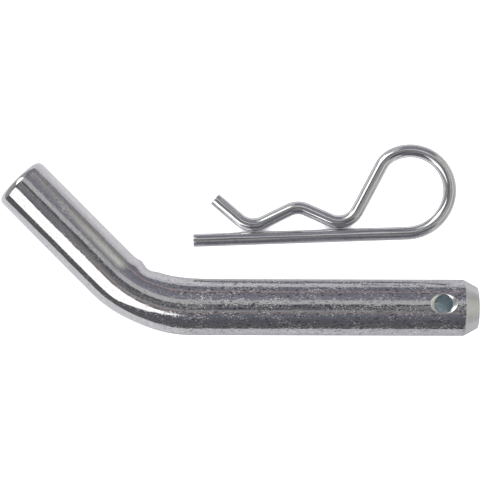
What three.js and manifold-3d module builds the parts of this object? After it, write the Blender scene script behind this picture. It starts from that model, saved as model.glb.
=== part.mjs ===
// Bent hitch pin with its R-shaped spring clip, both lying flat on a bench.
// Millimetres, +Z up. The origin is the centre of the tip's flat end, the shank runs along -X
// and the handle leans over towards +Y. Both pieces rest on the plane z = -PIN_RADIUS.
//
// Both pieces are round bar, cold bent, so each is turned as a straight bar and then bent along
// its path. The clip is one spring wire. It is modelled as two bodies, parted by a hairline at
// the far side of its loop, so that the arm can spring away from the leg.

import * as THREE from "three";
import { mergeVertices } from "three/addons/utils/BufferGeometryUtils.js";
import Module from "manifold-3d";

const wasm = await Module();
wasm.setup();

const { degToRad } = THREE.MathUtils;

// Pin: 5/8 inch bar with one bend
const PIN_RADIUS = 7.9375;
const CORNER_X = -93.3; // where the axes of the shank and the handle cross
const HANDLE_ANGLE = 45; // degrees
const HANDLE_LENGTH = 50.2; // from the corner to the end of the handle
const BEND_RADIUS = 32;
const HANDLE_RIM_RADIUS = 1.8;
const TIP_CHAMFER_LENGTH = 4;
const TIP_CHAMFER_DEPTH = 2.2;

// Where the bending tool left the bar out of round. Places are along the axis, from the start of
// the bend; the surface there stands out by the height, or is pressed in where it is negative.
const INSIDE_OF_BEND = [
  { place: 3.5, width: 6, height: 0.3 },
  { place: 16.3, width: 2.6, height: -0.65 },
  { place: 20.4, width: 1.7, height: 0.35 },
];
const OUTSIDE_OF_BEND = [{ place: 13, width: 6, height: -0.3 }];

// Cross hole for the clip, countersunk at both mouths
const HOLE_X = -10.2;
const HOLE_RADIUS = 2.5;
const HOLE_TILT = 10.7; // degrees that the hole leans from upright, towards +Y
const COUNTERSINK_RADIUS = 3.72; // where the cone meets the crown of the bar
const COUNTERSINK_SLOPE = 31; // degrees from the bar's surface, as a 118 degree drill point leaves

// Clip: spring wire, in the order that a wire former bends it. Each step is a straight run and
// then a bend, whose turn is in degrees, positive to the left.
const WIRE_RADIUS = 1.88;
const LEG_END = { x: -79.9, y: 18.7, heading: 2.1 };
const WIRE_STEPS = [
  { run: 60.8, radius: 12.45, turn: 75.2 }, // leg, and the loop's first side
  { run: 0, radius: 11.2, turn: 130.2 }, // round the loop
  { run: 0, radius: 7.4, turn: 34.6 }, // tightening into the arm
  { run: 14.3, radius: 6, turn: -85.5 }, // valley beside the loop
  { run: 7.4, radius: 5.9, turn: 49.6 }, // crest that sits on the pin
  { run: 8, radius: 6.5, turn: -66.5 }, // valley behind the lip
  { run: 8.9, radius: 0, turn: 0 }, // lip that rides up over the pin
];
const HAIRLINE = 0.3; // between the clip's two bodies

// Fineness of the facets
const PIN_SIDES = 64;
const HOLE_SIDES = 48;
const WIRE_SIDES = 24;
const RIM_STEPS = 5;
const BEND_FACET = 1.5; // greatest length of a facet along a bend, at the bar's axis

// Bending

// The axis of a bent bar, from a start { x, y, heading } and a list of bending steps.
function bendPath(start, steps) {
  const pieces = [];
  let { x, y } = start;
  let heading = degToRad(start.heading);
  let from = 0;
  for (const { run, radius, turn } of steps) {
    for (const piece of [{ length: run, curvature: 0 }, bendPiece(radius, turn)]) {
      if (piece.length === 0) continue;
      const placed = { ...piece, from, x, y, heading };
      pieces.push(placed);
      from += piece.length;
      ({ x, y, heading } = alongPiece(placed, from));
    }
  }
  return { pieces, length: from };
}

function bendPiece(radius, turn) {
  const length = radius * Math.abs(degToRad(turn));
  return { length, curvature: length > 0 ? Math.sign(turn) / radius : 0 };
}

// Where the axis is, and which way it heads, at a distance along the whole path.
function alongPiece(piece, distance) {
  const { from, x, y, heading, curvature } = piece;
  const travelled = distance - from;
  if (curvature === 0) {
    return {
      x: x + travelled * Math.cos(heading),
      y: y + travelled * Math.sin(heading),
      heading,
    };
  }
  const turned = heading + travelled * curvature;
  return {
    x: x + (Math.sin(turned) - Math.sin(heading)) / curvature,
    y: y - (Math.cos(turned) - Math.cos(heading)) / curvature,
    heading: turned,
  };
}

function onPath(path, distance) {
  const piece = path.pieces.findLast((each) => each.from <= distance) ?? path.pieces[0];
  return alongPiece(piece, distance);
}

// Distances between two limits where a bar needs a ring of corners: the joins and every facet.
function ringDistances(path, first, last) {
  const distances = [first, last];
  for (const { from, length, curvature } of path.pieces) {
    const facets = curvature === 0 ? 1 : Math.ceil(length / BEND_FACET);
    for (let i = 0; i <= facets; i++) distances.push(from + (length * i) / facets);
  }
  const inside = distances.filter((d) => d >= first && d <= last).sort((a, b) => a - b);
  return inside.filter((d, i) => i === 0 || d - inside[i - 1] > 1e-3);
}

// A bar turned from a profile of [radius, distance] points and bent along a path. The bulge
// function says how far to its left a point moves, from its distance and its place leftwards.
function bentBar(profile, sides, path, bulge = () => 0) {
  const outline = profile.map(([radius, distance]) => new THREE.Vector2(radius, distance));
  const geometry = new THREE.LatheGeometry(outline, sides);
  const position = geometry.attributes.position;
  for (let i = 0; i < position.count; i++) {
    const up = position.getX(i);
    const distance = position.getY(i);
    const straightLeft = position.getZ(i);
    const left = straightLeft + bulge(distance, straightLeft);
    const { x, y, heading } = onPath(path, distance);
    position.setXYZ(i, x - left * Math.sin(heading), y + left * Math.cos(heading), up);
  }
  return geometry;
}

// Booleans

function toSolid(geometry) {
  const bare = new THREE.BufferGeometry();
  bare.setAttribute("position", geometry.attributes.position);
  bare.setIndex(geometry.index);
  const merged = mergeVertices(bare, 1e-4);
  const corners = merged.index.array;
  const triangles = [];
  for (let i = 0; i < corners.length; i += 3) {
    const [a, b, c] = corners.subarray(i, i + 3);
    if (a !== b && b !== c && c !== a) triangles.push(a, b, c);
  }
  const mesh = new wasm.Mesh({
    numProp: 3,
    vertProperties: new Float32Array(merged.attributes.position.array),
    triVerts: new Uint32Array(triangles),
  });
  return new wasm.Manifold(mesh);
}

function toGeometry(solid) {
  const mesh = solid.getMesh();
  const geometry = new THREE.BufferGeometry();
  geometry.setAttribute("position", new THREE.BufferAttribute(mesh.vertProperties, 3));
  geometry.setIndex(new THREE.BufferAttribute(mesh.triVerts, 1));
  geometry.computeVertexNormals();
  return geometry;
}

// Pin

function pinPath() {
  const setback = BEND_RADIUS * Math.tan(degToRad(HANDLE_ANGLE / 2));
  const steps = [
    { run: -CORNER_X - setback, radius: BEND_RADIUS, turn: -HANDLE_ANGLE },
    { run: HANDLE_LENGTH - setback, radius: 0, turn: 0 },
  ];
  return bendPath({ x: 0, y: 0, heading: 180 }, steps);
}

// The bend turns to the right, so the bar's right is its inside. Each place's effect dies away
// along the bar, and round it from the side that it is on.
function pinBulge(bendStart) {
  return (distance, left) => {
    const side = Math.sign(left);
    const facing = Math.min(1, Math.abs(left) / PIN_RADIUS) ** 4;
    let standing = 0;
    for (const { place, width, height } of left < 0 ? INSIDE_OF_BEND : OUTSIDE_OF_BEND) {
      standing += height * Math.exp(-(((distance - bendStart - place) / width) ** 2));
    }
    return side * facing * standing;
  };
}

function pinProfile(path) {
  const rimStart = path.length - HANDLE_RIM_RADIUS;
  const profile = [[0, 0], [PIN_RADIUS - TIP_CHAMFER_DEPTH, 0]];
  for (const distance of ringDistances(path, TIP_CHAMFER_LENGTH, rimStart)) {
    profile.push([PIN_RADIUS, distance]);
  }
  for (let i = 1; i <= RIM_STEPS; i++) {
    const angle = (i / RIM_STEPS) * (Math.PI / 2);
    const radius = PIN_RADIUS - HANDLE_RIM_RADIUS * (1 - Math.cos(angle));
    profile.push([radius, rimStart + HANDLE_RIM_RADIUS * Math.sin(angle)]);
  }
  profile.push([0, path.length]);
  return profile;
}

function crossHoleTool() {
  const overshoot = 1;
  const slope = Math.tan(degToRad(COUNTERSINK_SLOPE));
  const throat = PIN_RADIUS - (COUNTERSINK_RADIUS - HOLE_RADIUS) * slope;
  const top = PIN_RADIUS + overshoot * slope;
  const profile = [
    [0, -top],
    [COUNTERSINK_RADIUS + overshoot, -top],
    [HOLE_RADIUS, -throat],
    [HOLE_RADIUS, throat],
    [COUNTERSINK_RADIUS + overshoot, top],
    [0, top],
  ];
  return new THREE.LatheGeometry(profile.map(([r, h]) => new THREE.Vector2(r, h)), HOLE_SIDES)
    .rotateX(Math.PI / 2)
    .rotateX(-degToRad(HOLE_TILT))
    .translate(HOLE_X, 0, 0);
}

function hitchPin() {
  const path = pinPath();
  const bendStart = path.pieces[1].from;
  const bar = bentBar(pinProfile(path), PIN_SIDES, path, pinBulge(bendStart));
  const drilled = toSolid(bar).subtract(toSolid(crossHoleTool()));
  return named("hitch_pin", toGeometry(drilled), zincPlate());
}

// Clip

// A square-cut length of the clip's wire, between two distances along it.
function wireLength(path, first, last) {
  const profile = [[0, first]];
  for (const distance of ringDistances(path, first, last)) {
    profile.push([WIRE_RADIUS, distance]);
  }
  profile.push([0, last]);
  return bentBar(profile, WIRE_SIDES, path);
}

function clipBodies() {
  const path = bendPath(LEG_END, WIRE_STEPS);
  const [leg, firstSide] = path.pieces;
  const parting = leg.length + firstSide.length;
  const bodies = [
    named("clip_leg", wireLength(path, 0, parting - HAIRLINE / 2), brightWire()),
    named("clip_arm", wireLength(path, parting + HAIRLINE / 2, path.length), brightWire()),
  ];
  for (const body of bodies) body.position.z = WIRE_RADIUS - PIN_RADIUS;
  return bodies;
}

// Materials

function zincPlate() {
  return new THREE.MeshStandardMaterial({ color: 0xaaabad, roughness: 0.28, metalness: 1 });
}

function brightWire() {
  return new THREE.MeshStandardMaterial({ color: 0xb9bec2, roughness: 0.16, metalness: 1 });
}

function named(name, geometry, material) {
  const mesh = new THREE.Mesh(geometry, material);
  mesh.name = name;
  return mesh;
}

const pinAndClip = new THREE.Group();
pinAndClip.add(hitchPin(), ...clipBodies());

export default pinAndClip;
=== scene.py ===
"""Looks of the bent hitch pin and its R-clip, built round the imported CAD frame.

Both pieces are round bar, cold bent. Each mesh is made as a straight bar, in bar coordinates
(along the axis, to its left, up), and then bent along its path. The bar coordinates stay on the
mesh as the vector attribute "unbent", so that streaks and grain in the plating run with the bend.
"""

import math

import bpy
import numpy as np
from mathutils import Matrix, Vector, noise


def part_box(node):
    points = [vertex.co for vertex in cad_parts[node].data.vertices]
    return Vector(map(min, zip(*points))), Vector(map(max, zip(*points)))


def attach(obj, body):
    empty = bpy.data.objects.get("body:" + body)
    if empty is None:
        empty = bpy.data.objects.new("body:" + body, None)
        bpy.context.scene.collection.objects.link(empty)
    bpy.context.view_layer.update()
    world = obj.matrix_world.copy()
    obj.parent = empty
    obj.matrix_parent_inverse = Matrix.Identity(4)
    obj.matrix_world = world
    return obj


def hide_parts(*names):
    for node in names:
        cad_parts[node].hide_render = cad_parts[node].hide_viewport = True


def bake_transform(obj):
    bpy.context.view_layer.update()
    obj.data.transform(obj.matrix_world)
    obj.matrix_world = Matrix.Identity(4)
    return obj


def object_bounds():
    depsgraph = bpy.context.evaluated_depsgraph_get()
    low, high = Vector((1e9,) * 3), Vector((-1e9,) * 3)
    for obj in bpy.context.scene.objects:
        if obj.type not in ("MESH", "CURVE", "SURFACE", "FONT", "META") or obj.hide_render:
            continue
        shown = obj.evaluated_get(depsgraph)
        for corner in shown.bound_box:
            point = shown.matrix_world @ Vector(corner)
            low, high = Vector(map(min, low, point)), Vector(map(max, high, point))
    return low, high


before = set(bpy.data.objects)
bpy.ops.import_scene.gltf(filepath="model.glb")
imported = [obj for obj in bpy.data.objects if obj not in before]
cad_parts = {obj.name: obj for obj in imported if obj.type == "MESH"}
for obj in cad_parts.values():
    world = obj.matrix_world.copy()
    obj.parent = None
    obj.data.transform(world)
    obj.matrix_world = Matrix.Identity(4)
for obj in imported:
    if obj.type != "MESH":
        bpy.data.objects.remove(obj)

cad_low, cad_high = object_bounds()

MM = 0.001

# ---------------------------------------------------------------------------------------------
# Sizes, in metres and degrees
# ---------------------------------------------------------------------------------------------

pin_low, pin_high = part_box("hitch_pin")
leg_low, leg_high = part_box("clip_leg")

PIN_RADIUS = (pin_high[2] - pin_low[2]) / 2
PIN_AXIS_Z = (pin_high[2] + pin_low[2]) / 2
CORNER = 93.3 * MM  # from the tip to where the axes of the shank and the handle cross
HANDLE_ANGLE = 45
HANDLE_LENGTH = 50.2 * MM
BEND_RADIUS = 32 * MM
HANDLE_RIM_RADIUS = 1.8 * MM
TIP_CHAMFER_LENGTH = 4 * MM
TIP_CHAMFER_DEPTH = 2.2 * MM

# Where the bending tool left the bar out of round, as (place, width, height). Places are along
# the axis from the start of the bend. The surface stands out by the height, or is pressed in.
INSIDE_OF_BEND = [
    (3.5 * MM, 6 * MM, 0.3 * MM),
    (16.3 * MM, 2.6 * MM, -0.65 * MM),
    (20.4 * MM, 1.7 * MM, 0.35 * MM),
]
OUTSIDE_OF_BEND = [(13 * MM, 6 * MM, -0.3 * MM)]

HOLE_PLACE = 10.2 * MM  # from the tip to the hole's axis
HOLE_RADIUS = 2.5 * MM
HOLE_TILT = math.radians(10.7)  # from upright, towards +Y
COUNTERSINK_RADIUS = 3.72 * MM  # where the cone meets the crown of the bar
COUNTERSINK_SLOPE = math.tan(math.radians(31))  # the cone's fall for its run inwards

WIRE_RADIUS = (leg_high[2] - leg_low[2]) / 2
LEG_HEADING = 2.1

# The clip from the end of its leg: (straight run, radius of the bend after it, turn to the left)
WIRE_STEPS = [
    (60.8 * MM, 12.45 * MM, 75.2),
    (0, 11.2 * MM, 130.2),
    (0, 7.4 * MM, 34.6),
    (14.3 * MM, 6 * MM, -85.5),
    (7.4 * MM, 5.9 * MM, 49.6),
    (8 * MM, 6.5 * MM, -66.5),
    (8.9 * MM, 0, 0),
]

# ---------------------------------------------------------------------------------------------
# Bending
# ---------------------------------------------------------------------------------------------

SAME_RING = 0.05 * MM  # rings no further apart than this are made as one


class BendPath:
    """The axis of a bent bar: straight runs and arcs in the horizontal plane."""

    def __init__(self, x, y, heading, steps):
        self.pieces = []
        self.length = 0.0
        heading = math.radians(heading)
        for run, radius, turn in steps:
            arc = radius * abs(math.radians(turn))
            curvature = math.copysign(1 / radius, turn) if arc else 0.0
            for length, bend in ((run, 0.0), (arc, curvature)):
                if length:
                    self.pieces.append((self.length, length, x, y, heading, bend))
                    self.length += length
                    x, y, heading = self._along(self.pieces[-1], self.length)

    @staticmethod
    def _along(piece, distance):
        start, _, x, y, heading, bend = piece
        travelled = distance - start
        if bend == 0:
            return x + travelled * math.cos(heading), y + travelled * math.sin(heading), heading
        turned = heading + travelled * bend
        return (
            x + (math.sin(turned) - math.sin(heading)) / bend,
            y - (math.cos(turned) - math.cos(heading)) / bend,
            turned,
        )

    def at(self, distance):
        """Place and heading of the axis, at a distance along it."""
        piece = self.pieces[0]
        for each in self.pieces:
            if each[0] <= distance:
                piece = each
        return self._along(piece, distance)

    def stations(self, first, last, straight_step, bend_step):
        """Distances at which the bar needs a ring, from first to last."""
        marks = {first, last}
        for start, length, *_, bend in self.pieces:
            count = max(1, math.ceil(length / (bend_step if bend else straight_step)))
            marks.update(start + length * k / count for k in range(count + 1))
        kept = []
        for mark in sorted(m for m in marks if first <= m <= last):
            if not kept or mark - kept[-1] > SAME_RING:
                kept.append(mark)
        return kept


def fillet(corner_before, corner, corner_after, size, steps=4):
    """Points that round a profile's corner, size metres back along each of its sides."""
    c = np.array(corner)
    into = np.array(corner_before) - c
    out = np.array(corner_after) - c
    a = c + into / np.linalg.norm(into) * size
    b = c + out / np.linalg.norm(out) * size
    points = []
    for k in range(steps + 1):
        t = k / steps
        points.append(tuple((1 - t) ** 2 * a + 2 * t * (1 - t) * c + t**2 * b))
    return points


# ---------------------------------------------------------------------------------------------
# Meshes
# ---------------------------------------------------------------------------------------------


class BarMesh:
    """Vertices and faces of a straight bar, gathered in bar coordinates."""

    def __init__(self):
        self.vertices = []
        self.faces = []
        self.materials = []

    def vertex(self, along, left, up):
        self.vertices.append((along, left, up))
        return len(self.vertices) - 1

    def face(self, corners, material=0):
        self.faces.append(corners)
        self.materials.append(material)

    def loop(self, points):
        return [self.vertex(*p) for p in points]

    def strip(self, one, two, material=0):
        """Faces between two closed loops of the same length."""
        count = len(one)
        for j in range(count):
            k = (j + 1) % count
            self.face((one[j], two[j], two[k], one[k]), material)

    def build(self, name, materials):
        mesh = bpy.data.meshes.new(name)
        mesh.from_pydata(self.vertices, [], self.faces)
        for material in materials:
            mesh.materials.append(material)
        mesh.polygons.foreach_set("material_index", self.materials)
        mesh.polygons.foreach_set("use_smooth", [True] * len(self.faces))
        unbent = mesh.attributes.new("unbent", "FLOAT_VECTOR", "POINT")
        unbent.data.foreach_set("vector", np.array(self.vertices, np.float32).ravel())
        mesh.validate()
        piece = bpy.data.objects.new(name, mesh)
        bpy.context.scene.collection.objects.link(piece)
        return piece


def ring_points(along, radius, sides, lean=0.0):
    """A ring round the bar's axis; its first point leans from upright by an angle."""
    points = []
    for j in range(sides):
        angle = lean + 2 * math.pi * j / sides
        points.append((along, radius * math.sin(angle), radius * math.cos(angle)))
    return points


def bend_mesh(piece, path, axis_z, shift=lambda along, left, up: (0.0, 0.0)):
    """Moves a straight bar's vertices onto its path. The shift adds to left and up."""
    for vertex in piece.data.vertices:
        along, left, up = vertex.co
        more_left, more_up = shift(along, left, up)
        left, up = left + more_left, up + more_up
        x, y, heading = path.at(along)
        vertex.co = (x - left * math.sin(heading), y + left * math.cos(heading), axis_z + up)
    piece.data.update()


# ---------------------------------------------------------------------------------------------
# Pin
# ---------------------------------------------------------------------------------------------

PIN_SIDES = 160
TIP_FACE_RINGS = 6
CHAMFER_RINGS = 8
LEAD_RINGS = 2  # between the chamfer and the hole's patch
HANDLE_RIM_RINGS = 8
HANDLE_FACE_RINGS = 7
SHANK_STEP = 1.0 * MM  # between rings along the straight parts
BEND_STEP = 0.6 * MM

HOLE_CELLS = 30  # cells across the square patch of surface that the hole is let into
MOUTH_LOOPS = 5
MOUTH_EASING = 0.8  # crowds the mouth's loops a little towards the hole
CONE_LOOPS = (0.33, 0.67)  # places down the countersink's cone
BORE_LOOPS = 12

RIM_BREAK = 0.16 * MM  # softening of the countersink's edges
CHAMFER_BREAK = 0.3 * MM
CHAMFER_MARGIN = 0.1 * MM  # the turned finish stops this far short of the chamfer's edge
END_BREAK = 0.35 * MM

BAR, TURNED, DRILLED, BORE = 0, 1, 2, 3  # material slots of the pin's mesh

# Strips from the patch's edge inwards: the first have the bar's finish, and the next the drill's.
BAR_STRIPS = MOUTH_LOOPS + 1
DRILLED_STRIPS = MOUTH_LOOPS + 9

SIDE_SHARE = 0.98  # of the radius: nearer the axis is an end, the chamfer or the hole
BULGE_FOCUS = 4  # power that gathers a bulge on the side it is on
ROLL_DEPTH = 0.022 * MM
ROLL_WAVE = (14 * MM, 3.2 * MM)  # size of a hollow, along and across the bar
ROLL_RIPPLE = (2.4 * MM, 1.2 * MM)
RIPPLE_SHARE = 0.12
ROLL_MARGIN = 0.5 * MM  # between the chamfer and the first of the hollows
ROLL_EASE = 1.0 * MM  # over which the hollows come in at each end


def pin_path():
    setback = BEND_RADIUS * math.tan(math.radians(HANDLE_ANGLE / 2))
    steps = [
        (CORNER - setback, BEND_RADIUS, -HANDLE_ANGLE),
        (HANDLE_LENGTH - setback, 0, 0),
    ]
    return BendPath(pin_high[0], 0.0, 180, steps)


def tip_profile():
    end_radius = PIN_RADIUS - TIP_CHAMFER_DEPTH
    axis, end_edge = (0.0, 0.0), (0.0, end_radius)
    shoulder, shank = (TIP_CHAMFER_LENGTH, PIN_RADIUS), (2 * TIP_CHAMFER_LENGTH, PIN_RADIUS)
    profile = [(0.0, end_radius * k / TIP_FACE_RINGS) for k in range(1, TIP_FACE_RINGS)]
    profile += fillet(axis, end_edge, shoulder, END_BREAK)
    for k in range(1, CHAMFER_RINGS):
        t = k / CHAMFER_RINGS
        profile.append((TIP_CHAMFER_LENGTH * t, end_radius + TIP_CHAMFER_DEPTH * t))
    profile += fillet(end_edge, shoulder, shank, CHAMFER_BREAK)
    return profile


def handle_end_profile(length):
    start = length - HANDLE_RIM_RADIUS
    flat = PIN_RADIUS - HANDLE_RIM_RADIUS
    profile = []
    for k in range(1, HANDLE_RIM_RINGS + 1):
        angle = math.pi / 2 * k / HANDLE_RIM_RINGS
        along = start + HANDLE_RIM_RADIUS * math.sin(angle)
        profile.append((along, flat + HANDLE_RIM_RADIUS * math.cos(angle)))
    for k in range(HANDLE_FACE_RINGS - 1, 0, -1):
        profile.append((length, flat * k / HANDLE_FACE_RINGS))
    return profile


def mouth_radius(angle):
    """Where the countersink's cone meets the bar, at an angle round the hole from the axis."""
    apex = PIN_RADIUS - COUNTERSINK_RADIUS * COUNTERSINK_SLOPE
    slant = apex * COUNTERSINK_SLOPE
    spread = COUNTERSINK_SLOPE**2 + math.sin(angle) ** 2
    inside = slant**2 - spread * (apex**2 - PIN_RADIUS**2)
    return (-slant + math.sqrt(inside)) / spread


def hole_loops(boundary):
    """Loops of points that line the hole, from just inside the patch's edge to mid-depth.

    The boundary is the patch's edge, seen down the hole as (along the bar, across it) from
    the hole's centre. Points come back as (along, across, height up the hole).
    """

    def on_bar(along, across):
        return along, across, math.sqrt(PIN_RADIUS**2 - across**2)

    throat_height = PIN_RADIUS - (COUNTERSINK_RADIUS - HOLE_RADIUS) * COUNTERSINK_SLOPE
    columns = []
    for along, across in boundary:
        angle = math.atan2(across, along)
        reach = math.hypot(along, across)
        cosine, sine = math.cos(angle), math.sin(angle)
        mouth = mouth_radius(angle)
        outside = mouth + RIM_BREAK
        column = []
        for k in range(1, MOUTH_LOOPS + 1):
            r = reach + (outside - reach) * (k / MOUTH_LOOPS) ** MOUTH_EASING
            column.append(on_bar(r * cosine, r * sine))
        surface = (outside, on_bar(outside * cosine, outside * sine)[2])
        cone_top = (mouth, on_bar(mouth * cosine, mouth * sine)[2])
        cone_foot = (HOLE_RADIUS, throat_height)
        rim = fillet(surface, cone_top, cone_foot, RIM_BREAK)
        throat = fillet(cone_top, cone_foot, (HOLE_RADIUS, 0.0), RIM_BREAK)
        cone = [tuple(np.array(rim[-1]) * (1 - t) + np.array(throat[0]) * t) for t in CONE_LOOPS]
        bottom = throat[-1][1]
        bore = [(HOLE_RADIUS, bottom * (1 - k / BORE_LOOPS)) for k in range(1, BORE_LOOPS + 1)]
        for radius, height in rim[1:] + cone + throat + bore:
            column.append((radius * cosine, radius * sine, height))
        columns.append(column)
    return [[column[k] for column in columns] for k in range(len(columns[0]))]


def pin_mesh(path):
    """The pin's bar, with the cross hole let into a square patch on each side of it."""
    cell = 2 * math.pi * PIN_RADIUS / PIN_SIDES
    half = HOLE_CELLS // 2
    opposite = PIN_SIDES // 2
    patch_start = HOLE_PLACE - half * cell
    patch_end = HOLE_PLACE + half * cell
    lean = -HOLE_TILT  # the bar's left is towards -Y, and the hole leans towards +Y

    profile = tip_profile()
    before = profile[-1][0]
    for k in range(1, LEAD_RINGS + 1):
        profile.append((before + (patch_start - before) * k / (LEAD_RINGS + 1), PIN_RADIUS))
    first = len(profile)
    profile += [(patch_start + cell * k, PIN_RADIUS) for k in range(HOLE_CELLS + 1)]
    last = len(profile) - 1
    shank = path.stations(patch_end, path.length - HANDLE_RIM_RADIUS, SHANK_STEP, BEND_STEP)
    profile += [(along, PIN_RADIUS) for along in shank[1:]]
    rim_first = len(profile) - 1
    profile += handle_end_profile(path.length)

    bar = BarMesh()
    tip_centre = bar.vertex(0.0, 0.0, 0.0)
    rows = []
    for i, (along, radius) in enumerate(profile):
        row = []
        for j, point in enumerate(ring_points(along, radius, PIN_SIDES, lean)):
            from_hole = min(j % opposite, opposite - j % opposite)
            hidden = first < i < last and from_hole < half
            row.append(None if hidden else bar.vertex(*point))
        rows.append(row)
    handle_centre = bar.vertex(path.length, 0.0, 0.0)

    def surface(i):
        chamfered = profile[i][0] < TIP_CHAMFER_LENGTH - CHAMFER_MARGIN
        return TURNED if chamfered or i > rim_first + HANDLE_RIM_RINGS else BAR

    for j in range(PIN_SIDES):
        k = (j + 1) % PIN_SIDES
        bar.face((tip_centre, rows[0][j], rows[0][k]), TURNED)
        bar.face((rows[-1][j], handle_centre, rows[-1][k]), TURNED)
        for i in range(len(rows) - 1):
            corners = (rows[i][j], rows[i + 1][j], rows[i + 1][k], rows[i][k])
            from_hole = (j + 0.5) % opposite
            in_patch = first <= i < last and min(from_hole, opposite - from_hole) < half
            if not in_patch:
                bar.face(corners, surface(i))

    # Round the patch's edge as seen down the hole: +along side, then counter-clockwise.
    edge = [(half, j) for j in range(-half, half)]
    edge += [(-i, half) for i in range(-half, half)]
    edge += [(-half, -j) for j in range(-half, half)]
    edge += [(i, -half) for i in range(-half, half)]
    places = []
    for i, j in edge:
        angle = 2 * math.pi * j / PIN_SIDES
        places.append((i * cell, PIN_RADIUS * math.sin(angle)))
    hole_row = (first + last) // 2
    near = [rows[hole_row + i][j % PIN_SIDES] for i, j in edge]
    far = [rows[hole_row + i][opposite - j] for i, j in edge]

    def placed(points, side):
        cosine, sine = math.cos(lean), math.sin(lean)
        result = []
        for along, across, height in points:
            height *= side
            left = across * cosine + height * sine
            up = height * cosine - across * sine
            result.append((HOLE_PLACE + along, left, up))
        return result

    lining = hole_loops(places)
    loops = [near]
    loops += [bar.loop(placed(points, 1)) for points in lining]
    loops += [bar.loop(placed(points, -1)) for points in lining[-2::-1]]
    loops.append(far)
    for n in range(len(loops) - 1):
        depth = min(n, len(loops) - 2 - n)
        if depth < BAR_STRIPS:
            material = BAR
        elif depth < DRILLED_STRIPS:
            material = DRILLED
        else:
            material = BORE
        bar.strip(loops[n + 1], loops[n], material)
    return bar


def roll_marks(along, left, up):
    """Slight hollows of rolled bar: never outwards, so the bar stays within its size."""
    wave = Vector((along / ROLL_WAVE[0], left / ROLL_WAVE[1], up / ROLL_WAVE[1]))
    ripple = Vector((along / ROLL_RIPPLE[0], left / ROLL_RIPPLE[1], up / ROLL_RIPPLE[1]))
    level = 0.5 + 0.5 * noise.noise(wave)
    level += RIPPLE_SHARE * noise.noise(ripple)
    return -ROLL_DEPTH * max(0.0, level)


def pin_shift(path):
    """Marks of the bending tool and hollows from rolling, as a shift of left and up."""
    bend_start = path.pieces[1][0]
    roll_start = TIP_CHAMFER_LENGTH + ROLL_MARGIN
    roll_end = path.length - HANDLE_RIM_RADIUS

    def shift(along, left, up):
        radius = math.hypot(left, up)
        if radius < SIDE_SHARE * PIN_RADIUS:
            return 0.0, 0.0
        standing = 0.0
        for place, width, height in INSIDE_OF_BEND if left < 0 else OUTSIDE_OF_BEND:
            standing += height * math.exp(-(((along - bend_start - place) / width) ** 2))
        facing = min(1.0, abs(left) / PIN_RADIUS) ** BULGE_FOCUS
        bulge = facing * standing * math.copysign(1.0, left)
        rolled = 0.0
        if roll_start < along < roll_end:
            ease = min(1.0, (along - roll_start) / ROLL_EASE, (roll_end - along) / ROLL_EASE)
            rolled = roll_marks(along, left, up) * ease
        return bulge + rolled * left / radius, rolled * up / radius

    return shift


def make_pin(materials):
    path = pin_path()
    pin = pin_mesh(path).build("pin_bar", materials)
    bend_mesh(pin, path, PIN_AXIS_Z, pin_shift(path))
    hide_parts("hitch_pin")
    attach(pin, "pin")


# ---------------------------------------------------------------------------------------------
# Clip
# ---------------------------------------------------------------------------------------------

WIRE_SIDES = 48
WIRE_FACE_RINGS = 5
WIRE_STEP = 1.5 * MM  # between rings along the straight parts
WIRE_BEND_STEP = 0.45 * MM
WIRE_END_BREAK = 0.22 * MM

DRAWN, CUT = 0, 1  # material slots of the clip's mesh


def clip_path():
    heading = math.radians(LEG_HEADING)
    x = leg_low[0] + WIRE_RADIUS * math.sin(heading)
    y = leg_low[1] + WIRE_RADIUS * math.cos(heading)
    return BendPath(x, y, LEG_HEADING, WIRE_STEPS)


def wire_end_profile(end, inward):
    """Half of a square-cut end: from near the centre out to the wire's side."""
    rim = (end, WIRE_RADIUS)
    profile = [(end, WIRE_RADIUS * k / WIRE_FACE_RINGS) for k in range(1, WIRE_FACE_RINGS)]
    profile += fillet((end, 0.0), rim, (end + inward, WIRE_RADIUS), WIRE_END_BREAK)
    return profile


def wire_mesh(path):
    start = wire_end_profile(0.0, MM)
    end = wire_end_profile(path.length, -MM)[::-1]
    between = path.stations(start[-1][0], end[0][0], WIRE_STEP, WIRE_BEND_STEP)[1:-1]
    profile = start + [(along, WIRE_RADIUS) for along in between] + end
    wire = BarMesh()
    first_centre = wire.vertex(0.0, 0.0, 0.0)
    rows = [wire.loop(ring_points(along, radius, WIRE_SIDES)) for along, radius in profile]
    last_centre = wire.vertex(path.length, 0.0, 0.0)
    for j in range(WIRE_SIDES):
        k = (j + 1) % WIRE_SIDES
        wire.face((first_centre, rows[0][j], rows[0][k]), CUT)
        wire.face((rows[-1][j], last_centre, rows[-1][k]), CUT)
    last_strip = len(rows) - 2
    for i in range(last_strip + 1):
        at_end = min(i, last_strip - i) < WIRE_FACE_RINGS - 1
        wire.strip(rows[i], rows[i + 1], CUT if at_end else DRAWN)
    return wire


def make_clip(materials):
    """One wire, built straight with its transform baked, then bent along its path."""
    path = clip_path()
    clip = wire_mesh(path).build("clip_wire", materials)
    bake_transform(clip)
    bend_mesh(clip, path, (leg_low[2] + leg_high[2]) / 2)
    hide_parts("clip_leg", "clip_arm")


# ---------------------------------------------------------------------------------------------
# Materials
# ---------------------------------------------------------------------------------------------


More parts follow.
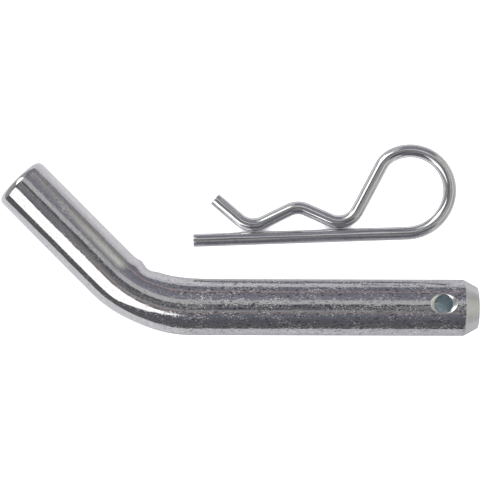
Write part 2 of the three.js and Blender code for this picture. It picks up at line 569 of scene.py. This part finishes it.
class Shader:
    """A node tree with short ways to add the nodes used here."""

    def __init__(self, tree):
        self.tree = tree
        tree.nodes.clear()

    def put(self, socket, value):
        if isinstance(value, bpy.types.NodeSocket):
            self.tree.links.new(value, socket)
        elif value is not None:
            socket.default_value = value

    def node(self, kind, inputs=None, **settings):
        node = self.tree.nodes.new(kind)
        for name, value in settings.items():
            setattr(node, name, value)
        for name, value in (inputs or {}).items():
            self.put(node.inputs[name], value)
        return node

    def math(self, operation, *values, clamp=False):
        node = self.node("ShaderNodeMath", operation=operation, use_clamp=clamp)
        for socket, value in zip(node.inputs, values):
            self.put(socket, value)
        return node.outputs[0]

    def ramp(self, value, low, high, to_low=0.0, to_high=1.0):
        """A smooth step of a value from low to high."""
        inputs = {0: value, 1: low, 2: high, 3: to_low, 4: to_high}
        node = self.node("ShaderNodeMapRange", inputs, interpolation_type="SMOOTHSTEP")
        return node.outputs[0]

    def mix(self, factor, one, two):
        node = self.node("ShaderNodeMix", data_type="RGBA")
        self.put(node.inputs[0], factor)
        self.put(node.inputs[6], one)
        self.put(node.inputs[7], two)
        return node.outputs[2]

    def unbent(self, along, across):
        """Bar coordinates, scaled so that a texture's cell is so many millimetres."""
        place = self.node("ShaderNodeAttribute", attribute_name="unbent").outputs["Vector"]
        scale = (1 / (along * MM), 1 / (across * MM), 1 / (across * MM))
        node = self.node("ShaderNodeVectorMath", operation="MULTIPLY")
        self.put(node.inputs[0], place)
        node.inputs[1].default_value = scale
        return node.outputs[0]

    def noise(self, along, across, detail=2.0, rough=0.5):
        """Noise whose features are about so many millimetres along and across the bar."""
        inputs = {"Vector": self.unbent(along, across), "Scale": 1.0}
        inputs.update({"Detail": detail, "Roughness": rough})
        return self.node("ShaderNodeTexNoise", inputs).outputs["Fac"]

    def bump(self, height, depth, normal=None):
        """A bump of so many millimetres for a height from 0 to 1."""
        node = self.node("ShaderNodeBump", {"Strength": 1.0, "Distance": depth * MM})
        self.put(node.inputs["Height"], height)
        self.put(node.inputs["Normal"], normal)
        return node.outputs[0]

    def metal(self, colour, roughness, normal=None):
        inputs = {"Metallic": 1.0, "Base Color": colour, "Roughness": roughness}
        inputs["Normal"] = normal
        surface = self.node("ShaderNodeBsdfPrincipled", inputs)
        out = self.node("ShaderNodeOutputMaterial")
        self.tree.links.new(surface.outputs[0], out.inputs["Surface"])


def new_material(name):
    material = bpy.data.materials.new(name)
    material.use_nodes = True
    return material, Shader(material.node_tree)


def rgb(r, g, b):
    return (r, g, b, 1.0)


FADE = (76.0, 98.0)  # millimetres from the tip, where the shank's finish fades to the handle's


def bar_material():
    """Bright zinc over rolled bar: mirror-like, frosted in fine specks and streaked, with shade
    painted into small pits as dark specks.
    """
    material, s = new_material("zinc_on_rolled_bar")
    patch = s.noise(5.0, 2.4, 2.0, 0.5)
    speck = s.noise(0.6, 0.38, 2.0, 0.55)
    along = s.node("ShaderNodeSeparateXYZ", {0: s.unbent(1.0, 1.0)}).outputs[0]
    # Fades the painted pit shade and the frost's bump from the shank to the handle.
    shank_pit_shade_and_frost = s.ramp(along, *FADE, 1.0, 0.3)
    frost = s.math("MULTIPLY", s.math("SUBTRACT", speck, 0.515), 9.0, clamp=True)
    frost = s.math("MULTIPLY", frost, s.ramp(patch, 0.36, 0.60, 0.28, 1.0))
    frost = s.math("MULTIPLY", frost, s.ramp(along, *FADE, 1.0, 0.5))
    grain = s.noise(1.3, 0.85, 2.0, 0.6)
    streak = s.noise(9.0, 0.8, 2.0, 0.55)
    # Painted shade: dark specks that stand for the shade in small pits.
    pit_shade = s.ramp(s.noise(1.2, 0.45, 1.0, 0.5), 0.33, 0.41, 1.0, 0.0)
    pit_shade = s.math("MULTIPLY", pit_shade, shank_pit_shade_and_frost)
    normal = s.bump(grain, 0.005)
    normal = s.bump(streak, 0.006, normal)
    normal = s.bump(s.math("MULTIPLY", frost, shank_pit_shade_and_frost), 0.007, normal)
    tint = s.mix(s.ramp(patch, 0.35, 0.7), rgb(0.58, 0.58, 0.605), rgb(0.59, 0.585, 0.595))
    tint = s.mix(s.ramp(along, *FADE), tint, rgb(0.62, 0.615, 0.625))
    tint = s.mix(frost, tint, rgb(0.94, 0.94, 0.93))
    tint = s.mix(pit_shade, tint, rgb(0.26, 0.26, 0.28))
    roughness = s.math("MULTIPLY_ADD", frost, 0.34, 0.04)
    s.metal(tint, roughness, normal)
    return material


def cut_material(name, roughness):
    """Zinc over turned or drilled steel: satin, with fine rings left by the tool."""
    material, s = new_material(name)
    rings = s.noise(0.12, 9.0, 1.0)
    cloud = s.noise(1.6, 1.6, 3.0)
    normal = s.bump(rings, 0.006)
    normal = s.bump(cloud, 0.012, normal)
    tint = s.mix(s.ramp(cloud, 0.35, 0.65), rgb(0.70, 0.70, 0.695), rgb(0.79, 0.79, 0.78))
    tint = s.mix(s.ramp(rings, 0.4, 0.6), tint, rgb(0.67, 0.67, 0.665))
    s.metal(tint, s.math("MULTIPLY_ADD", cloud, 0.14, roughness), normal)
    return material


def bore_material():
    """Thin blue passivation inside the cross hole, where the plating bath hardly reached."""
    material, s = new_material("passivated_bore")
    cloud = s.noise(1.0, 1.0, 3.0)
    tint = s.mix(cloud, rgb(0.50, 0.66, 0.72), rgb(0.64, 0.76, 0.80))
    s.metal(tint, 0.45, s.bump(cloud, 0.03))
    return material


def wire_material():
    """Bright zinc over drawn wire: smooth, with faint lines along its length."""
    material, s = new_material("zinc_on_drawn_wire")
    line = s.noise(16.0, 0.35, 2.0)
    cloud = s.noise(2.2, 1.2, 3.0)
    speck = s.ramp(s.noise(0.5, 0.4, 1.0), 0.55, 0.7)
    normal = s.bump(line, 0.012)
    normal = s.bump(cloud, 0.008, normal)
    tint = s.mix(s.ramp(line, 0.40, 0.60), rgb(0.53, 0.54, 0.56), rgb(0.86, 0.86, 0.86))
    tint = s.mix(speck, tint, rgb(0.60, 0.62, 0.64))
    s.metal(tint, s.math("MULTIPLY_ADD", line, 0.06, 0.03), normal)
    return material


# ---------------------------------------------------------------------------------------------
# Studio: a white sheet for a floor, two long softboxes overhead, and the walls of the room
# ---------------------------------------------------------------------------------------------

FLOOR_LOW = (-0.178, -0.13)
FLOOR_HIGH = (0.25, 0.22)
FLOOR_GAP = 0.02 * MM  # so that nothing is flush with the sheet
# The occlusion search below sets where grey shade is painted into the sheet's corners.
CORNER_REACH = 8 * MM  # how far round a spot on the sheet is searched for what covers it
# The spot under the hole is painted dark teal, as shade seen through the cross hole.
HOLE_SHADE_SPOT = (4 * MM, 6 * MM)  # radii over which the spot under the hole fades out

SOFTBOX_HEIGHT = 1.0
SOFTBOX_WIDTH = 0.84
SOFTBOX_COLOUR = (1.0, 0.99, 0.96)
BACK_SOFTBOX = {"near": 0.70, "far": 4.6, "azimuth": 132.5, "radiance": 2.2}
FRONT_SOFTBOX = {"near": 0.52, "far": 2.99, "azimuth": -135.5, "radiance": 1.55}

CAMERA_HEIGHT = 513 * MM
CAMERA_VIEW_WIDTH = 134.64 * MM  # at the height of the pin's axis
CAMERA_SHIFT = (0.17 * MM, -0.27 * MM)  # from over the object's middle
CAMERA_ROLL = math.radians(0.16)
SENSOR_WIDTH = 36  # millimetres

centre = (cad_low + cad_high) / 2


def make_floor():
    """A matt white sheet. The camera sees it overexposed, except close under the pieces, where
    grey shade is painted on, and under the cross hole, where dark teal shade is painted on.

    To every other ray it glows a little, unevenly, as light from the room would leave it.
    """
    z = cad_low[2] - FLOOR_GAP
    (x0, y0), (x1, y1) = FLOOR_LOW, FLOOR_HIGH
    mesh = bpy.data.meshes.new("floor")
    mesh.from_pydata([(x0, y0, z), (x1, y0, z), (x1, y1, z), (x0, y1, z)], [], [(0, 1, 2, 3)])
    material, s = new_material("white_sheet")
    place = s.node("ShaderNodeNewGeometry").outputs["Position"]
    x, y, _ = s.node("ShaderNodeSeparateXYZ", {0: place}).outputs
    beside_handle = s.ramp(x, -0.105, -0.075, 0.12, 0.0)
    beside_clip = s.ramp(y, 0.012, 0.025, 0.0, 0.10)
    given = s.math("ADD", beside_handle, beside_clip)
    given = s.math("ADD", given, s.ramp(y, 0.04, 0.06, 0.14, 0.02))
    open_sky = s.node("ShaderNodeAmbientOcclusion", {"Distance": CORNER_REACH}).outputs["AO"]
    uncovered = s.ramp(open_sky, 0.16, 0.34)
    foot = (pin_high[0] - HOLE_PLACE, -PIN_RADIUS * math.tan(HOLE_TILT), z)
    from_foot = s.node("ShaderNodeVectorMath", {0: place, 1: foot}, operation="DISTANCE")
    under_hole = s.ramp(from_foot.outputs["Value"], *HOLE_SHADE_SPOT, 1.0, 0.0)
    # Painted shade for the camera: grey close under the pieces, dark teal under the cross hole.
    painted_floor_shade = s.mix(under_hole, rgb(0.12, 0.12, 0.125), rgb(0.028, 0.06, 0.07))
    seen = s.mix(uncovered, painted_floor_shade, rgb(1.1, 1.1, 1.1))
    matt = s.node("ShaderNodeBsdfDiffuse", {"Color": rgb(0.90, 0.89, 0.94)})
    camera_ray = s.node("ShaderNodeLightPath").outputs["Is Camera Ray"]
    colour = s.mix(camera_ray, given, seen)
    glow = s.node("ShaderNodeEmission", {"Color": colour, "Strength": 1.0})
    both = s.node("ShaderNodeAddShader")
    s.put(both.inputs[0], matt.outputs[0])
    s.put(both.inputs[1], glow.outputs[0])
    out = s.node("ShaderNodeOutputMaterial")
    s.put(out.inputs["Surface"], both.outputs[0])
    mesh.materials.append(material)
    floor = bpy.data.objects.new("floor", mesh)
    bpy.context.scene.collection.objects.link(floor)


def make_softbox(name, near, far, azimuth, radiance):
    """A softbox hung flat overhead, from a near to a far distance from over the object."""
    light = bpy.data.lights.new(name, "AREA")
    light.shape = "RECTANGLE"
    light.size, light.size_y = far - near, SOFTBOX_WIDTH
    light.energy = radiance * math.pi * light.size * light.size_y
    light.color = SOFTBOX_COLOUR
    lamp = bpy.data.objects.new(name, light)
    turn, distance = math.radians(azimuth), (near + far) / 2
    x, y = distance * math.cos(turn), distance * math.sin(turn)
    lamp.location = (centre.x + x, centre.y + y, SOFTBOX_HEIGHT)
    lamp.rotation_euler = (0.0, 0.0, turn)
    bpy.context.scene.collection.objects.link(lamp)


NEUTRAL = (1.0, 1.0, 1.0)
COOL = (0.97, 0.96, 1.12)
REDDISH = (1.16, 0.90, 0.86)
OLIVE = (1.0, 1.0, 0.93)

# The walls: azimuth of the middle, half width, and the shades met going down from overhead,
# as (angle from overhead, strength, tint). The first is the whole room, and each of the others
# covers a part of it.
WALLS = [
    (180, 181, [
        (0, 0.20, NEUTRAL), (5, 0.24, NEUTRAL), (9, 0.27, NEUTRAL), (14, 0.26, COOL),
        (19, 0.21, COOL), (24, 0.15, COOL), (34, 0.14, COOL), (42, 0.22, NEUTRAL),
        (60, 0.40, NEUTRAL), (90, 0.42, NEUTRAL),
    ]),
    (116, 20, [
        (0, 0.18, NEUTRAL), (4, 0.22, NEUTRAL), (7, 0.36, NEUTRAL), (10, 0.40, NEUTRAL),
        (14, 0.31, NEUTRAL), (20, 0.34, NEUTRAL), (28, 0.46, NEUTRAL), (44, 0.66, NEUTRAL),
        (56, 0.68, NEUTRAL), (66, 0.48, NEUTRAL), (76, 0.40, NEUTRAL), (90, 0.42, NEUTRAL),
    ]),
    (256, 44, [
        (0, 0.14, COOL), (9, 0.15, COOL), (10.5, 0.38, NEUTRAL), (17, 0.36, NEUTRAL),
        (18, 0.31, REDDISH), (21, 0.31, REDDISH), (22.5, 0.27, NEUTRAL), (28, 0.215, COOL),
        (44, 0.175, COOL), (54, 0.145, COOL), (90, 0.145, NEUTRAL),
    ]),
    (308, 16, [
        (0, 0.16, NEUTRAL), (8, 0.19, COOL), (16, 0.22, NEUTRAL), (24, 0.17, COOL),
        (30, 0.09, COOL), (38, 0.09, COOL), (46, 0.20, COOL), (53, 0.45, NEUTRAL),
        (60, 0.60, NEUTRAL), (90, 0.66, NEUTRAL),
    ]),
    (5, 47, [
        (0, 0.17, NEUTRAL), (4, 0.18, NEUTRAL), (7, 0.29, NEUTRAL), (9, 0.44, OLIVE),
        (15, 0.46, OLIVE), (23, 0.41, OLIVE), (28, 0.38, NEUTRAL), (34, 0.34, NEUTRAL),
        (38, 0.37, NEUTRAL), (44, 0.58, OLIVE), (50, 0.77, OLIVE), (57, 0.88, OLIVE),
        (64, 0.73, OLIVE), (71, 0.50, OLIVE), (77, 0.38, NEUTRAL), (82, 0.33, NEUTRAL),
        (90, 0.37, NEUTRAL),
    ]),
    (74, 24, [
        (0, 0.14, COOL), (13, 0.14, COOL), (16, 0.62, NEUTRAL), (30, 0.60, NEUTRAL),
        (32, 0.32, COOL), (44, 0.28, COOL), (60, 0.235, COOL), (65, 0.20, COOL),
        (66, 0.42, REDDISH), (69, 0.42, REDDISH), (71, 0.26, COOL), (90, 0.24, COOL),
    ]),
]
WALL_BLEND = 5  # degrees each side of a wall's edge
BACKGROUND = (1.0, 1.0, 1.0)  # what the camera sees beyond the sheet


def make_room():
    """The walls, which light the object and show in it but are hidden from the camera."""
    world = bpy.data.worlds.new("room")
    world.use_nodes = True
    bpy.context.scene.world = world
    s = Shader(world.node_tree)
    direction = s.node("ShaderNodeTexCoord").outputs["Generated"]
    split = s.node("ShaderNodeSeparateXYZ", {0: direction})
    x, y, z = split.outputs
    down = s.math("DIVIDE", s.math("ARCCOSINE", z), math.pi)
    azimuth = s.math("ARCTAN2", y, x)
    colour = None
    for facing, half_width, shades in WALLS:
        ramp = s.node("ShaderNodeValToRGB", {"Fac": down})
        elements = ramp.color_ramp.elements
        elements.remove(elements[1])
        for k, (angle, strength, tint) in enumerate(shades):
            element = elements[0] if k == 0 else elements.new(angle / 180)
            element.position = angle / 180
            element.color = rgb(*(strength * t for t in tint))
        offset = s.math("SUBTRACT", azimuth, math.radians(facing))
        offset = s.math("ABSOLUTE", s.math("WRAP", offset, math.pi, -math.pi))
        inner, outer = math.radians(half_width - WALL_BLEND), math.radians(half_width + WALL_BLEND)
        shown = s.ramp(offset, inner, outer, 1.0, 0.0)
        colour = ramp.outputs[0] if colour is None else s.mix(shown, colour, ramp.outputs[0])
    rays = s.node("ShaderNodeLightPath").outputs["Is Camera Ray"]
    seen = s.mix(rays, colour, rgb(*BACKGROUND))
    background = s.node("ShaderNodeBackground", {"Color": seen, "Strength": 1.0})
    out = s.node("ShaderNodeOutputWorld")
    s.put(out.inputs["Surface"], background.outputs[0])


def make_camera():
    """Looking straight down over the middle of the object, through a long lens."""
    data = bpy.data.cameras.new("camera")
    data.sensor_width = SENSOR_WIDTH
    data.lens = SENSOR_WIDTH * CAMERA_HEIGHT / CAMERA_VIEW_WIDTH
    data.clip_start = 0.01
    camera = bpy.data.objects.new("camera", data)
    camera.location = (centre.x + CAMERA_SHIFT[0], centre.y + CAMERA_SHIFT[1], CAMERA_HEIGHT)
    camera.rotation_euler = (0.0, 0.0, CAMERA_ROLL)
    bpy.context.scene.collection.objects.link(camera)
    bpy.context.scene.camera = camera


turned = cut_material("zinc_on_turned_steel", 0.30)
drilled = cut_material("zinc_on_drilled_steel", 0.14)
make_pin([bar_material(), turned, drilled, bore_material()])
make_clip([wire_material(), turned])
make_floor()
make_softbox("back_softbox", **BACK_SOFTBOX)
make_softbox("front_softbox", **FRONT_SOFTBOX)
make_room()
make_camera()
bpy.context.scene.view_settings.view_transform = "Standard"
